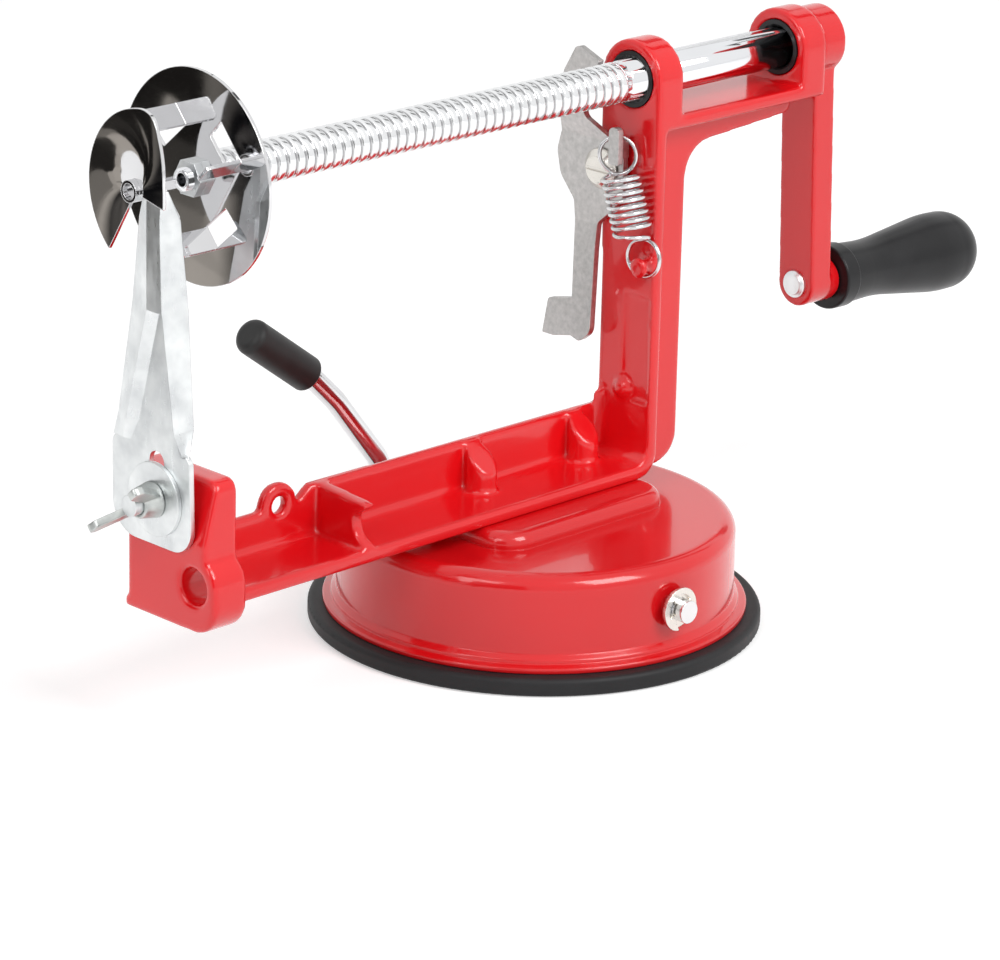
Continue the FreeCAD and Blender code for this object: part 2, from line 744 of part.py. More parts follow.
def grip_rivet():
    low = axis_z - crank_throw
    head = turned_x(((crank_x - rivet_head_t, 0), (crank_x - rivet_head_t, rivet_head_r - 1, 0.6),
                     (crank_x - rivet_head_t / 2, rivet_head_r, 0.5), (crank_x + 0.3, rivet_head_r),
                     (crank_x + 0.3, rivet_r), (crank_x + rivet_len, rivet_r), (crank_x + rivet_len, 0)), 0, low)
    return place_grip(head)


def crank_arm():
    """Cast arm with a boss on the shaft's end and one behind the grip."""
    low = axis_z - crank_throw
    arm = box(crank_x, crank_back_x, -crank_half, crank_half, low, axis_z)
    hub = cyl_x(crank_boss_r, crank_x, crank_back_x + crank_boss_extra, 0, axis_z)
    end = cyl_x(crank_end_r, crank_x, crank_back_x, 0, low)
    boss = place_grip(cyl_x(grip_boss_r, crank_x + 2, crank_back_x + grip_boss_t, 0, low))
    body = join(arm, hub, end, boss)
    return body.cut([lead_screw(), grip_rivet()]).removeSplitter()


def crank_grip():
    """Turning plastic grip: collar, waist and a full rounded end."""
    start = crank_back_x + grip_boss_t + face_gap
    end = start + grip_len
    bore = rivet_r + run_gap
    blind = crank_x + rivet_len + face_gap
    low = axis_z - crank_throw
    body_x = start + grip_collar_t
    grip = turned_x(((blind, 0), (blind, bore), (start, bore), (start, grip_collar_r, 0.7),
                     (body_x, grip_collar_r, 0.6), (body_x + 0.5, grip_waist_r + 0.4, 0.2),
                     (start + 0.3 * grip_len, grip_waist_r - 0.3, 60), (start + 0.74 * grip_len, grip_bulge_r + 0.4, 50),
                     (start + 0.9 * grip_len, grip_bulge_r + 0.2, 13), (end - 0.5, 0.6 * grip_bulge_r, 8),
                     (end, 0)), 0, low)
    return place_grip(grip)


# ---------------------------------------------------------------- nut lever
def lever_profile():
    """Side view of the bent lever plate, seen along Y."""
    lean = math.tan(math.radians(lever_bend_deg))
    low_z = axis_z - lever_low
    knee_z = stud_z - 17.0
    bend_z = stud_z + 8.0
    rise = axis_z - 7.0 - bend_z
    top_z = axis_z + 9.0
    foot = 0.10 * (knee_z - low_z)
    front = [(lever_x - foot, low_z), (lever_x, knee_z), (lever_x, bend_z),
             (lever_x - rise * lean, bend_z + rise), (lever_x - rise * lean - 0.3, top_z)]
    back = [(x + lever_t, z) for x, z in reversed(front)]
    return plate(front + back, on_xz, -10, 40)


def lever_outline():
    """Front view of the lever plate: jaw at the screw, thumb end below."""
    z = axis_z
    return plate(((13.4, z + 9.0, 2.0), (4.6, z + 5.6, 0.5), (7.0, z, 1), (8.0, z - 7.0, 1), (12.0, z - 10.6, 1.5),
                  (12.0, z - 12.4, 1.5), (4.6, z - 17.4, 1), (-0.5, z - 19.0, 1), (-1.0, z - 34.0, 2),
                  (4.2, z - 39.6, 3), (8.9, z - 43.6, 3), (8.9, z - 51.4, 3), (7.6, z - 76.0, 4),
                  (11.5, z - 79.0, 2), (15.0, z - 78.0, 0), (26.4, z - 80.5, 1.2), (25.2, z - 69.0, 1.2),
                  (15.9, z - 67.0, 0.4), (17.6, z - 45.2, 4), (18.4, z - 38.4, 3), (24.0, z - 32.0, 6),
                  (25.6, z - 25.0, 6), (22.0, z - 12.0, 4), (18.3, z + 0.8, 3)),
                 on_yz, lever_x - 20, post_x)


def nut_lever():
    """Bent steel lever whose jaw engages the screw from the far side."""
    lever = lever_profile().common(lever_outline())
    jaw = cyl_x(screw_r + jaw_gap, lever_x - 20, post_x, 0, axis_z)
    pivot = cyl_x(stud_r + run_gap, lever_x - 20, post_x, stud_y, stud_z)
    lever = lever.cut([jaw, pivot])
    tongue_x = lever_x - hook_reach
    near_y = hook_y - hook_width / 2
    far_y = hook_y + hook_width / 2
    tongue = plate(((near_y, stud_z + hook_low, 0.6), (far_y, stud_z + hook_low, 0.6),
                    (far_y, stud_z + hook_top, 1.7), (near_y, stud_z + hook_top, 1.7)),
                   on_yz, tongue_x - hook_t, tongue_x)
    web = box(tongue_x - hook_t / 2, lever_x + lever_t, hook_web_y - hook_web_t / 2,
              hook_web_y + hook_web_t / 2, stud_z + hook_low + 1.0, stud_z + hook_seat)
    return join(lever, web, tongue)


def lever_stud():
    """Shouldered round head stud that the lever turns on."""
    neck_x = lever_x - face_gap
    head = turned_x(((neck_x - stud_head_t, 0), (neck_x - stud_head_t, stud_head_r - 2.0, 1.0),
                     (neck_x - 0.6, stud_head_r, 0.6), (neck_x, stud_head_r), (neck_x, stud_r),
                     (post_x + stud_root, stud_r), (post_x + stud_root, 0)), stud_y, stud_z)
    slot = box(neck_x - stud_head_t - 1, neck_x - stud_head_t + 0.7, stud_y - stud_head_r, stud_y + stud_head_r,
               stud_z - 0.5, stud_z + 0.5)
    return head.cut(slot)


def lever_washer():
    ring = cyl_x(lever_washer_r, post_x - lever_washer_t, post_x, stud_y, stud_z)
    ring = ring.cut(cyl_x(stud_r, post_x - lever_washer_t, post_x, stud_y, stud_z))
    return ring.common(box(post_x - 5, post_x, -band_half, band_half, beam_z, axis_z))


def lever_spring():
    """Extension spring: close coils between two full loops."""
    top = Vec(*coil_top)
    low = Vec(*coil_low)
    line = top - low
    length = line.Length
    helix = Part.makeHelix(length / coil_turns, length, coil_r)
    corners = [math.radians(45 * i) for i in range(8)] + [0.0]
    ring = Part.makePolygon([Vec(coil_r + wire_r * math.cos(a), 0, wire_r * math.sin(a)) for a in corners])
    coil = Part.Wire(helix).makePipeShell([ring], True, True)
    coil.Placement = FreeCAD.Placement(low, FreeCAD.Rotation(AXIS_Z, line))
    inner = loop_r - wire_r
    upper_turn = math.radians(upper_loop_deg)
    lower_turn = math.radians(lower_loop_deg)
    upper_x = lever_x - hook_reach + wire_r + slip_gap + loop_gap
    upper = Part.makeTorus(loop_r, wire_r, Vec(upper_x, hook_web_y, stud_z + hook_seat + hang_gap - inner),
                           Vec(-math.cos(upper_turn), -math.sin(upper_turn), 0))
    neck_x = post_x - peg_neck_len + wire_r + slip_gap + loop_gap
    lower = Part.makeTorus(loop_r, wire_r, Vec(neck_x, peg_y, peg_z - peg_neck_r - hang_gap + inner),
                           Vec(math.cos(lower_turn), math.sin(lower_turn), 0))
    return Part.makeCompound([coil, upper, lower])


# ---------------------------------------------------------------- blade
def blade_edge(radius_of, far_gap, steps):
    """Points of one edge, from the near lip round over the top to the far lip."""
    rim_total = 360.0 - blade_gap_near_deg - blade_gap_far_deg
    total = 360.0 - blade_gap_near_deg - far_gap
    flat = blade_flat_deg / rim_total
    points = []
    for i in range(steps + 1):
        share = i / steps
        angle = math.radians(-90.0 - blade_gap_near_deg - total * share)
        y = math.cos(angle)
        z = math.sin(angle)
        radius = radius_of(y, z)
        forward = blade_lead * max(0.0, share - flat) / (1 - flat)
        x = blade_x - arm_ridge - weld_gap - blade_t + forward
        points.append(Vec(x, radius * y, axis_z + radius * z))
    return points


def rim_radius(y, z):
    """Round on the far side, and a flatter ellipse on the near side."""
    side = -(y * blade_centre[0] + z * blade_centre[1])
    off = blade_centre[0] ** 2 + blade_centre[1] ** 2
    circle = math.sqrt(side ** 2 + blade_r ** 2 - off) - side
    if y >= 0:
        return circle
    return min(circle, 1.0 / math.sqrt((y / blade_near_r) ** 2 + (z / blade_near_top) ** 2))


def hub_radius(y, z):
    return 0.85 * eyelet_r


def spiral_blade():
    """Cutting disc: one turn of thin steel with a gap between its lips."""
    rims = []
    for radius_of, far_gap in ((hub_radius, blade_gap_far_deg + blade_lip_deg), (rim_radius, blade_gap_far_deg)):
        curve = Part.BSplineCurve()
        curve.interpolate(blade_edge(radius_of, far_gap, 24))
        rims.append(curve.toShape())
    skin = Part.makeRuledSurface(rims[0], rims[1], 1)
    solid = skin.extrude(AXIS_X * blade_t)
    return solid.cut(cyl_x(eyelet_r, blade_x - 30, blade_x + 20, 0, axis_z))


def blade_eyelet():
    """Short tube at the blade's centre that the skewer slides through."""
    start = blade_x - arm_ridge - blade_t - eyelet_front
    return turned_x(((start, eyelet_bore_r), (start + eyelet_len, eyelet_bore_r),
                     (start + eyelet_len, eyelet_r), (start, eyelet_r)), 0, axis_z)


def arm_section(z, tuck, far, ridge_far, panel_far, panel_near, ridge_near, near):
    """Closed section of the folded arm at one height, from six (x, y) folds."""
    folds = (far, ridge_far, panel_far, panel_near, ridge_near, near)
    front = [Vec(x, y, z) for x, y in folds]
    inset = [Vec(plate_t, 0, 0)] * 4 + [Vec(plate_t + tuck, plate_t, 0), Vec(0, plate_t, 0)]
    back = [point + inset[i] for i, point in enumerate(front)]
    ring = front + back[::-1]
    return Part.makePolygon(ring + [ring[0]])


def blade_arm():
    """Pressed arm: flat slotted pad, two folded legs and a ridge to the blade."""
    x = blade_x
    ridge = x - arm_ridge
    pad = plate(((12.6, bolt_z - 13.0, 9), (12.8, bolt_z + 14.2, 3), (-17.8, bolt_z + 14.2, 3),
                 (-18.6, bolt_z - 13.0, 7)), on_yz, x, x + plate_t)
    foot_z = bolt_z + 13.6
    apex_z = foot_z + 38.0
    levels = [arm_section(foot_z, 0, (x, 12.4), (x - 0.6, 8.0), (x, 5.5),
                          (x, -14.3), (x - 0.6, -15.8), (x + 0.6, -17.0)),
              arm_section(foot_z + 6.5, 0, (x, 10.4), (x - 2.0, 5.0), (x, 2.0),
                          (x, -11.2), (x - 2.2, -14.2), (x + 4.4, -14.6)),
              arm_section(apex_z, arm_ridge - 0.4, (x - 0.4, 4.2), (ridge, -4.4), (x - 0.4, -6.6),
                          (x - 0.4, -8.6), (ridge, -10.4), (x + 5.6, -11.0))]
    tops = [arm_section(apex_z, 0, (x - 0.4, 4.2), (ridge, -4.4), (ridge, -6.6),
                        (ridge, -8.6), (ridge, -10.4), (x + 5.6, -11.0)),
            arm_section(axis_z - 7.0, 0, (x - 1.6, 0.0), (ridge, -4.4), (ridge, -6.0),
                        (ridge, -8.0), (ridge, -9.6), (x + 3.6, -10.2)),
            arm_section(axis_z + 1.5, 0, (ridge, -3.8), (ridge, -4.6), (ridge, -6.4),
                        (ridge, -8.4), (ridge, -10.2), (x - 1.0, -10.8))]
    body = join(pad, Part.makeLoft(levels, True, True), Part.makeLoft(tops, True, True))
    slot = join(cyl_x(bolt_r + run_gap, x - 1, x + 3, bolt_y, bolt_z),
                cyl_x(bolt_r + run_gap, x - 1, x + 3, bolt_y, bolt_z + slot_travel),
                box(x - 1, x + 3, bolt_y - bolt_r - run_gap, bolt_y + bolt_r + run_gap, bolt_z,
                    bolt_z + slot_travel))
    tube = cyl_x(eyelet_r, ridge - 5, x + 5, 0, axis_z)
    return body.cut([slot, tube])


def blade_bolt():
    """Carriage bolt: domed head behind the block, thread to the wing nut."""
    shank = cyl_x(bolt_r, block_x - bolt_front, block_back_x + 0.5, bolt_y, bolt_z)
    ball_r = (bolt_head_r ** 2 + bolt_head_t ** 2) / (2 * bolt_head_t)
    ball = Part.makeSphere(ball_r, Vec(block_back_x + bolt_head_t - ball_r, bolt_y, bolt_z))
    head = ball.common(box(block_back_x, block_back_x + 10, bolt_y - 20, bolt_y + 20, bolt_z - 20, bolt_z + 20))
    return join(shank, head)


def blade_washer():
    ring = cyl_x(washer_r, washer_x, washer_x + washer_t, bolt_y, bolt_z)
    return ring.cut(cyl_x(bolt_r + run_gap, washer_x, washer_x + washer_t, bolt_y, bolt_z))


def wing_nut():
    """Wing nut with a tapered hub and two wings flared forward."""
    back = washer_x - slip_gap
    hub = Part.makeCone(wing_hub_top_r, wing_hub_r, wing_hub_len,
                        Vec(back - wing_hub_len, bolt_y, bolt_z), AXIS_X)
    half = wing_span / 2
    front = back - wing_hub_len
    wing = plate(((back - 1.2, 2.0), (back - 1.2, wing_hub_r - 0.4, 0.8), (front - wing_height + 3.5, half - 1.4, 1.5),
                  (front - wing_height, half - 1.0, 2.0), (front - wing_height + 0.8, half - 5.0, 2.0),
                  (front + 0.4, 2.8, 1.0), (front + 0.6, 2.0)), on_xz, -wing_t / 2, wing_t / 2)
    wing.translate(Vec(0, bolt_y, bolt_z))
    centre = Vec(0, bolt_y, bolt_z)
    other = turn_about(wing, centre, AXIS_X, 180)
    nut = join(hub, wing, other).cut(cyl_x(bolt_r + run_gap, front - 20, back + 1, bolt_y, bolt_z))
    return turn_about(nut, centre, AXIS_X, wing_turn_deg)


# ---------------------------------------------------------------- export
pieces = {
    "frame_casting": frame_casting(),
    "front_bush": bush(post_x),
    "rear_bush": bush(rear_lug_x),
    "base_housing": base_housing(),
    "rubber_pad": rubber_pad(),
    "fixing_screws": fixing_screws(),
    "blade_bolt": blade_bolt(),
    "lever_stud": lever_stud(),
    "lever_washer": lever_washer(),
    "lever_spring": lever_spring(),
    "suction_rod": suction_rod(),
    "suction_grip": suction_grip(),
    "suction_cam": suction_cam(),
    "pad_puller": pad_puller(),
    "axle_clip": axle_clip(),
    "axle_washer": axle_washer(),
    "lead_screw": place_crank(lead_screw()),
    "thrust_washer": thrust_washer(),
    "fork_disc": fork_disc(),
    "disc_nut": disc_nut(),
    "crank_arm": place_crank(crank_arm()),
    "grip_rivet": place_crank(grip_rivet()),
    "crank_grip": place_crank(crank_grip()),
    "nut_lever": nut_lever(),
    "blade_arm": blade_arm(),
    "spiral_blade": spiral_blade(),
    "blade_eyelet": blade_eyelet(),
    "blade_washer": blade_washer(),
    "wing_nut": wing_nut(),
}

os.makedirs("parts", exist_ok=True)
for name, shape in pieces.items():
    shape.exportStep("parts/" + name + ".step")
    solids = shape.Solids
    state = "valid" if shape.isValid() else "INVALID"
    print(name, len(solids), "solids", round(sum(s.Volume for s in solids), 1), "mm3", state)
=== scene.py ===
# %% [markdown]
# # A hand cranked spiral potato cutter
#
# The cutter is a red cast frame on a suction base. A threaded bar runs through
# two bushes on top of the frame: a crank turns it, and a disc with bent fins on
# its front end pushes the potato on to a round blade.
#
# The jointed CAD model is loaded first, and its shapes are never changed. Each
# of its pieces gets a material here, and where plain CAD is too simple, such as
# the rolled thread or the spring, a piece modelled in Blender takes its place.

# %% Load the frame
import math

import bpy
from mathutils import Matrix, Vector


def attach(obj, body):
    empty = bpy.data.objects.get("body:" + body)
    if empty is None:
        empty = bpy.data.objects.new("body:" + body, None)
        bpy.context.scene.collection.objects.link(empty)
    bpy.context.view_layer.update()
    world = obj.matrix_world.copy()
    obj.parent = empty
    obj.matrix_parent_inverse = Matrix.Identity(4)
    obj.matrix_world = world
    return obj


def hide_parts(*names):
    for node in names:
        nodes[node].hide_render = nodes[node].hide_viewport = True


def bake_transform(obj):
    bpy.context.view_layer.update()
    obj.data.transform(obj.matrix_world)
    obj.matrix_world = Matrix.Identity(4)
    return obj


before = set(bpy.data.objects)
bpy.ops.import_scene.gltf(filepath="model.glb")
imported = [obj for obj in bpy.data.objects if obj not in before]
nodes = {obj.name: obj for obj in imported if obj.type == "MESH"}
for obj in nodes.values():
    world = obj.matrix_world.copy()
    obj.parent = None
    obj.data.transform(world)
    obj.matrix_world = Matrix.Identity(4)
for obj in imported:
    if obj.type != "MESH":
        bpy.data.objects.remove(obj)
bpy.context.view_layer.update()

print("pieces in the frame:", len(nodes))

# %% [markdown]
# ## The camera
#
# A long lens far away keeps the long bar and the round base in one calm
# perspective. The camera is given by where it looks and by its angles, and is
# then rolled a little about its own line of sight. A small shift moves the
# picture over the lens, so that the cutter sits in the upper part of the frame.

# %% Directions of the view
AIM = Vector((0.0, 0.0, 0.080))
CAMERA_AZIMUTH = math.radians(-45.52)
CAMERA_ELEVATION = math.radians(17.45)
CAMERA_ROLL = math.radians(1.52)

back = Vector((math.sin(CAMERA_AZIMUTH) * math.cos(CAMERA_ELEVATION),
               -math.cos(CAMERA_AZIMUTH) * math.cos(CAMERA_ELEVATION),
               math.sin(CAMERA_ELEVATION)))
level = Vector((math.cos(CAMERA_AZIMUTH), math.sin(CAMERA_AZIMUTH), 0.0))
upright = back.cross(level)
right = level * math.cos(CAMERA_ROLL) + upright * math.sin(CAMERA_ROLL)
up = back.cross(right)
print("the camera stands towards", [round(v, 3) for v in back])

# %% Place the camera
CAMERA_DISTANCE = 1.2742
CAMERA_LENS = 162.64
CAMERA_SENSOR = 36.0
CAMERA_SHIFT = (-0.0408, -0.1326)
CAMERA_CLIP = (0.05, 30.0)

bpy.ops.object.select_all(action="DESELECT")
bpy.ops.object.camera_add(location=AIM + back * CAMERA_DISTANCE)
camera = bpy.context.object
camera.name = "camera"
turn = camera.matrix_world.copy()
for row in range(3):
    turn[row][0], turn[row][1], turn[row][2] = right[row], up[row], back[row]
camera.matrix_world = turn
camera.data.lens = CAMERA_LENS
camera.data.sensor_width = CAMERA_SENSOR
camera.data.shift_x, camera.data.shift_y = CAMERA_SHIFT
camera.data.clip_start, camera.data.clip_end = CAMERA_CLIP
bpy.context.scene.camera = camera
print("camera at", [round(v, 4) for v in camera.location])

# %% [markdown]
# ## Shader maths that reads as Python
#
# A procedural material is a small sum over noise, masks and ramps. Wrapping a
# socket in a class with operators lets the sum be written as it is thought of,
# down to 1 - mask. Each operator adds one Math node to the tree.

# %% A socket with operators
class Value:
    """One output of a node tree, with Python's operators as Math nodes."""

    def __init__(self, graph, socket):
        self.graph = graph
        self.socket = socket

    def __add__(self, other):
        return self.graph.sum_of("ADD", self, other)

    def __mul__(self, other):
        return self.graph.sum_of("MULTIPLY", self, other)

    def __sub__(self, other):
        return self.graph.sum_of("SUBTRACT", self, other)

    def __rsub__(self, other):
        return self.graph.sum_of("SUBTRACT", other, self)

    __radd__ = __add__
    __rmul__ = __mul__

    def between(self, low, high):
        """A mask, 0 at low and 1 at high; a mix clamps what lies beyond."""
        return (self - low) * (1 / (high - low))

# %% [markdown]
# ## Node trees and materials
#
# Materials and the world are both trees of nodes. One method adds any node: its
# settings first, because they can change its sockets, and then the value or
# link of each socket. A material is such a tree with a shader in it, and with
# short names for the few nodes that nearly every finish needs.

# %% A node tree
class Graph:
    """A node tree to which one method adds any node."""

    def __init__(self, tree):
        self.tree = tree

    def node(self, kind, settings=None, sockets=None, out=0):
        """Adds a node; a ramp's stops are a setting named stops."""
        made = self.tree.nodes.new(kind)
        for name, value in (settings or {}).items():
            if name == "stops":
                for stop, (spot, grey) in zip(made.color_ramp.elements, value):
                    stop.position = spot
                    stop.color = (grey, grey, grey, 1.0)
            else:
                setattr(made, name, value)
        for name, value in (sockets or {}).items():
            self.feed(made.inputs[name], value)
        return Value(self, made.outputs[out])

    def feed(self, socket, value):
        """Links a Value to a socket, or sets the socket to a plain value."""
        if isinstance(value, Value):
            self.tree.links.new(value.socket, socket)
        elif socket.type == "RGBA":
            socket.default_value = (*value, 1.0)
        else:
            socket.default_value = value

    def sum_of(self, kind, left, right):
        return self.node("ShaderNodeMath", {"operation": kind}, {0: left, 1: right})

    def ray(self, kind):
        """1 for a ray of this kind, such as Camera, and 0 for any other."""
        return self.node("ShaderNodeLightPath", out=f"Is {kind} Ray")

    def looked_at(self):
        """1 for a ray from the camera or sent on by a mirror or glass, else 0."""
        return 1 - ((1 - self.ray("Camera")) * (1 - self.ray("Glossy"))
                    * (1 - self.ray("Transmission")))

# %% A material
class Paint(Graph):
    """A procedural material, started from constants of its shader."""

    def __init__(self, name, **constants):
        self.material = bpy.data.materials.new(name)
        self.material.use_nodes = True
        super().__init__(self.material.node_tree)
        self.shader = self.tree.nodes["Principled BSDF"]
        self.give(constants)
        self.place = self.node("ShaderNodeTexCoord", out="Object")

    def give(self, sockets):
        """Feeds sockets of the shader; a name has _ where the socket has a space."""
        for name, value in sockets.items():
            self.feed(self.shader.inputs[name.replace("_", " ")], value)

    def noise(self, scale, detail=3.0, roughness=0.5, place=None):
        return self.node("ShaderNodeTexNoise", {},
                         {"Vector": place or self.place, "Scale": scale,
                          "Detail": detail, "Roughness": roughness}, "Fac")

    def ramp(self, value, *stops):
        return self.node("ShaderNodeValToRGB", {"stops": stops}, {"Fac": value})

    def stretched(self, x, y, z):
        """Object coordinates squeezed along the axes, for streaks."""
        return self.node("ShaderNodeMapping", {},
                         {"Vector": self.place, "Scale": (x, y, z)})

    def mix(self, mask, low, high):
        """Colour from low to high as the mask goes from 0 to 1."""
        return self.node("ShaderNodeMix", {"data_type": "RGBA"},
                         {0: mask, 6: low, 7: high}, 2)

    def bump(self, height, distance, strength=1.0, under=None):
        """Normal of a relief; under is the normal that it is laid on."""
        sockets = {"Height": height, "Distance": distance, "Strength": strength}
        if under is not None:
            sockets["Normal"] = under
        return self.node("ShaderNodeBump", {}, sockets)

    def rounded(self, radius):
        """Normal that rounds the edges of a solid within the radius."""
        return self.node("ShaderNodeBevel", {"samples": 6}, {"Radius": radius})

    def surface(self, **links):
        """Feeds the shader and gives the finished material."""
        self.give(links)
        print("material", self.material.name, len(self.tree.nodes), "nodes")
        return self.material

# %% [markdown]
# ## Red enamel on the casting
#
# The frame and the crank are die cast and coated with a thick, glossy red
# enamel. The coat pools slightly, so it is a touch darker and wavier on the
# large faces, and every edge is rounded by the coat itself. A Bevel node bends
# the normal near the edges, and two scales of noise give the waviness. The
# pressed cover of the base has the same coat, thinner and a little darker.

# %% Red enamel
def red_coat(name, colour, deep, ripple, edge):
    """Glossy red coat: noise tints it, waves it and varies its gloss.

    ripple is the height of the waves and edge the radius of the edges, in m.
    """
    coat = Paint(name, Coat_Weight=0.45, Coat_Roughness=0.03, IOR=1.45)
    pools = coat.ramp(coat.noise(14.0, detail=2.0), (0.35, 0.0), (0.7, 1.0))
    wave = coat.noise(70.0, detail=2.0, roughness=0.4)
    grain = coat.noise(900.0, detail=2.0)
    return coat.surface(
        Base_Color=coat.mix(pools, deep, colour),
        Roughness=coat.ramp(grain, (0.3, 0.16), (0.8, 0.22)),
        Normal=coat.bump(wave + grain * 0.02, ripple, under=coat.rounded(edge)))


red_enamel = red_coat("red_enamel", colour=(0.82, 0.008, 0.012),
                      deep=(0.72, 0.005, 0.009), ripple=0.00014, edge=0.0007)
red_steel = red_coat("red_steel", colour=(0.74, 0.007, 0.011),
                     deep=(0.64, 0.005, 0.008), ripple=0.00006, edge=0.0006)

# %% [markdown]
# ## Bare metals
#
# Eight metals share one recipe: a grey tint, a roughness that noise moves
# between two values, and fine streaks along one axis. They differ only in
# numbers. Mirror steel has almost no roughness; zinc plate is blotchy.

# %% Chrome and mirror steel
def bare_metal(name, tint, dull, rough, streak, mottle, grain=0.000004):
    """Plated or bare metal.

    Blotches of the scale mottle mix dull and tint. rough is the least and most
    roughness, streak squeezes the streaks' noise along x, y and z, and grain is
    their height in m.
    """
    smooth, matt = rough
    metal = Paint(name, Metallic=1.0)
    lines = metal.noise(260.0, roughness=0.6, place=metal.stretched(*streak))
    cloud = metal.noise(mottle)
    return metal.surface(
        Base_Color=metal.mix(metal.ramp(cloud, (0.3, 0.0), (0.75, 1.0)), dull, tint),
        Roughness=metal.ramp(lines + cloud * 0.5, (0.4, smooth), (0.95, matt)),
        Normal=metal.bump(lines, grain, 0.6, under=metal.rounded(0.0003)))


chrome = bare_metal("chrome", tint=(0.86, 0.87, 0.89), dull=(0.80, 0.81, 0.83),
                    rough=(0.05, 0.11), streak=(0.3, 3, 3), mottle=30.0)
mirror = bare_metal("mirror_steel", tint=(0.76, 0.76, 0.77), dull=(0.70, 0.70, 0.71),
                    rough=(0.02, 0.06), streak=(1, 1, 1), mottle=40.0, grain=0.000001)

# %% Six duller metals
cast_zinc = bare_metal("cast_zinc", tint=(0.70, 0.72, 0.70), dull=(0.42, 0.44, 0.43),
                       rough=(0.26, 0.44), streak=(1, 1, 1), mottle=260.0,
                       grain=0.00001)
zinc = bare_metal("zinc_plate", tint=(0.86, 0.88, 0.88), dull=(0.60, 0.62, 0.63),
                  rough=(0.22, 0.38), streak=(3, 3, 0.4), mottle=120.0,
                  grain=0.0000015)
nickel = bare_metal("nickel_plate", tint=(0.80, 0.77, 0.72), dull=(0.68, 0.65, 0.60),
                    rough=(0.16, 0.28), streak=(1, 1, 1), mottle=150.0)
satin = bare_metal("satin_steel", tint=(0.62, 0.60, 0.59), dull=(0.46, 0.45, 0.44),
                   rough=(0.28, 0.42), streak=(4, 4, 3), mottle=700.0,
                   grain=0.000014)
wire = bare_metal("spring_wire", tint=(0.80, 0.80, 0.81), dull=(0.60, 0.60, 0.61),
                  rough=(0.08, 0.2), streak=(1, 1, 1), mottle=200.0)
plated = bare_metal("plated_rod", tint=(0.82, 0.82, 0.83), dull=(0.72, 0.72, 0.73),
                    rough=(0.08, 0.16), streak=(1, 1, 1), mottle=60.0)

# %% [markdown]
# ## Rubber and plastic
#
# The pad is matt rubber with a faint moulding grain, and the cap on the lever
# is a softer, duller rubber. The grip and the bushes are a smooth satin
# plastic. All four are black, so their gloss and grain tell them apart.

# %% Rubber and plastic
def black_moulding(name, colour, rough, grain_scale, grain_depth, edge):
    """Black moulded surface with fine grain and slightly uneven gloss."""
    smooth, matt = rough
    pale = tuple(value * 1.5 + 0.004 for value in colour)
    black = Paint(name, IOR=1.5, Specular_IOR_Level=0.32)
    grain = black.noise(grain_scale, roughness=0.6)
    dust = black.noise(60.0, detail=4.0, roughness=0.6)
    return black.surface(
        Base_Color=black.mix(black.ramp(dust, (0.45, 0.0), (0.85, 1.0)), colour, pale),
        Roughness=black.ramp(dust + grain * 0.3, (0.4, smooth), (0.95, matt)),
        Normal=black.bump(grain, grain_depth, 0.8, under=black.rounded(edge)))


pad_rubber = black_moulding("pad_rubber", (0.010, 0.010, 0.011), rough=(0.48, 0.64),
                            grain_scale=1400.0, grain_depth=0.00003, edge=0.0006)
cap_rubber = black_moulding("cap_rubber", (0.018, 0.018, 0.018), rough=(0.40, 0.55),
                            grain_scale=1200.0, grain_depth=0.00002, edge=0.0005)
grip_plastic = black_moulding("grip_plastic", (0.008, 0.008, 0.009),
                              rough=(0.28, 0.38), grain_scale=1800.0,
                              grain_depth=0.00001, edge=0.0004)
bush_plastic = black_moulding("bush_plastic", (0.016, 0.016, 0.017),
                              rough=(0.30, 0.42), grain_scale=1500.0,
                              grain_depth=0.00001, edge=0.0003)

# %% [markdown]
# ## A material for every piece of the frame
#
# One table says which finish each CAD piece has. The slots are overwritten and
# the meshes are left alone.

# %% Dress the CAD pieces
FINISH = {
    red_enamel: ("frame_casting", "crank_arm"),
    red_steel: ("base_housing",),
    chrome: ("lead_screw",),
    mirror: ("fork_disc", "spiral_blade", "blade_eyelet"),
    zinc: ("blade_arm", "blade_bolt", "blade_washer", "wing_nut", "disc_nut",
           "fixing_screws", "lever_washer", "grip_rivet"),
    nickel: ("lever_stud", "axle_clip", "axle_washer"),
    satin: ("nut_lever", "pad_puller"),
    wire: ("lever_spring",),
    plated: ("suction_rod",),
    pad_rubber: ("rubber_pad",),
    cap_rubber: ("suction_grip",),
    grip_plastic: ("crank_grip",),
    bush_plastic: ("front_bush", "rear_bush", "thrust_washer", "suction_cam"),
}
for material, names in FINISH.items():
    for name in names:
        mesh = nodes[name].data
        for spot in range(len(mesh.materials)):
            mesh.materials[spot] = material
        if not mesh.materials:
            mesh.materials.append(material)
left_out = set(nodes) - {name for names in FINISH.values() for name in names}
print("dressed", len(nodes) - len(left_out), "pieces; left out:", sorted(left_out))

# %% [markdown]
# ## Helpers for modelling
#
# An operator works on what is selected, so a helper first makes one piece the
# only selected one. Two more do what almost every new piece needs at some
# stage: applying its modifiers and its place, and welding its loose vertices.

# %% Select, apply and weld
MM = 0.001
WELD_GAP = 0.000001


def only(piece):
    """Makes one object the only selected one."""
    bpy.ops.object.select_all(action="DESELECT")
    piece.select_set(True)
    bpy.context.view_layer.objects.active = piece


def apply_all(piece):
    """Applies every modifier, then the object's own place."""
    only(piece)
    for modifier in list(piece.modifiers):
        bpy.ops.object.modifier_apply(modifier=modifier.name)
    bpy.ops.object.transform_apply(location=True, rotation=True, scale=True)


